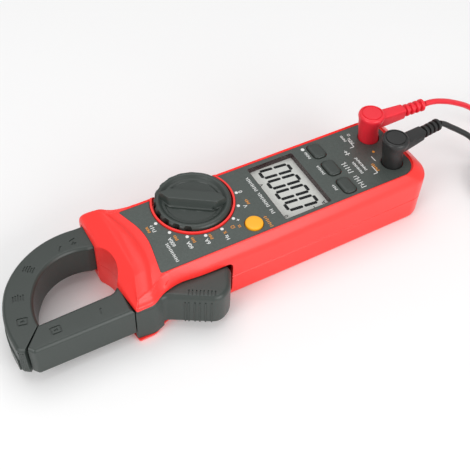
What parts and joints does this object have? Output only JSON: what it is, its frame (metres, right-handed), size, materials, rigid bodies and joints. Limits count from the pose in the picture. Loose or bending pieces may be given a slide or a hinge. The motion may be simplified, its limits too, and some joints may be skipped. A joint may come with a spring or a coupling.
{
  "type": "clamp meter",
  "caption": "Hand-held clamp meter with spring-closed measuring jaws, rotary selector, display, keys and plugged-in test leads with probes.",
  "frame": {"origin": "middle of the flat back of the case, which rests on a bench", "axes": "+X along the case from the jaws to the tail, +Y away from the trigger, +Z out of the front panel"},
  "size_m": [0.4607, 0.0909, 0.0472],
  "materials": {
    "red_plastic": "satin moulded, bright red",
    "slate_plastic": "fine-grained matt moulding, dark slate grey",
    "panel_film": "metallic grey printed film, satin",
    "orange_key": "soft orange-yellow key",
    "clear_window": "clear polished window",
    "lcd": "light grey liquid-crystal glass",
    "black_plastic": "black moulded plastic",
    "board": "green solder mask",
    "grey_rubber": "grey silicone",
    "steel": "bright steel",
    "brass": "bright brass",
    "copper_wire": "lacquered copper winding",
    "cell_wrap": "plain wrapped cell",
    "red_lead": "soft red lead insulation",
    "black_lead": "soft black lead insulation"
  },
  "bodies": {
    "housing": {"battery_1": "cell_wrap", "battery_2": "cell_wrap", "battery_door": "red_plastic", "battery_door_screw": "steel", "battery_spring_1": "steel", "battery_spring_2": "steel", "black_coil": "black_lead", "black_coil_tie": "black_plastic", "black_lead": "black_lead", "black_lead_tail": "black_lead", "black_plug": "black_lead", "black_plug_pin": "brass", "black_probe_handle": "black_lead", "black_probe_tip": "steel", "buzzer": "black_plastic", "case_screw_1": "steel", "case_screw_2": "steel", "case_screw_3": "steel", "case_screw_4": "steel", "common_jack": "brass", "display_lens": "clear_window", "fixed_core": "steel", "fixed_jaw_shell": "slate_plastic", "front_shell": "red_plastic", "jack_block": "black_plastic", "jaw_end_contact": "steel", "jaw_pivot_pin": "steel", "jaw_spring": "steel", "keypad_mat": "grey_rubber", "lcd_connector_strip": "grey_rubber", "lcd_frame": "black_plastic", "lcd_glass": "lcd", "main_board": "board", "measuring_chip": "black_plastic", "panel_overlay": "panel_film", "pickup_coil": "copper_wire", "rear_shell": "red_plastic", "red_coil": "red_lead", "red_coil_tie": "black_plastic", "red_lead": "red_lead", "red_lead_tail": "red_lead", "red_plug": "red_lead", "red_plug_pin": "brass", "red_probe_handle": "red_lead", "red_probe_tip": "steel", "select_switch": "black_plastic", "tail_end_contact": "steel", "voltage_jack": "brass"},
    "jaw": {"moving_jaw_shell": "slate_plastic", "moving_core": "steel", "trigger_lever": "slate_plastic"},
    "dial": {"dial_knob": "slate_plastic", "dial_rotor": "black_plastic", "dial_wiper": "brass"},
    "hold_key": {"hold_key": "slate_plastic"},
    "peak_key": {"peak_key": "slate_plastic"},
    "relative_key": {"relative_key": "slate_plastic"},
    "select_key": {"select_key": "orange_key"}
  },
  "joints": [
    {"name": "jaw_hinge", "type": "hinge", "parent": "housing", "child": "jaw", "pos_m": [-0.0475, -0.0225, 0.0142], "axis": [0, 0, 1], "range_deg": [0, 24], "stiffness_Nm_per_rad": 0.3, "springref_deg": -17.19},
    {"name": "dial_turn", "type": "hinge", "parent": "housing", "child": "dial", "pos_m": [-0.007, 0.01095, 0.03], "axis": [0, 0, 1], "range_deg": [-134.7, 22.45]},
    {"name": "hold_press", "type": "slide", "parent": "housing", "child": "hold_key", "axis": [0, 0, -1], "range_m": [0, 0.001], "stiffness_N_per_m": 400, "springref_m": -0.001},
    {"name": "peak_press", "type": "slide", "parent": "housing", "child": "peak_key", "axis": [0, 0, -1], "range_m": [0, 0.001], "stiffness_N_per_m": 400, "springref_m": -0.001},
    {"name": "relative_press", "type": "slide", "parent": "housing", "child": "relative_key", "axis": [0, 0, -1], "range_m": [0, 0.001], "stiffness_N_per_m": 400, "springref_m": -0.001},
    {"name": "select_press", "type": "slide", "parent": "housing", "child": "select_key", "axis": [0, 0, -1], "range_m": [0, 0.001], "stiffness_N_per_m": 400, "springref_m": -0.001}
  ]
}
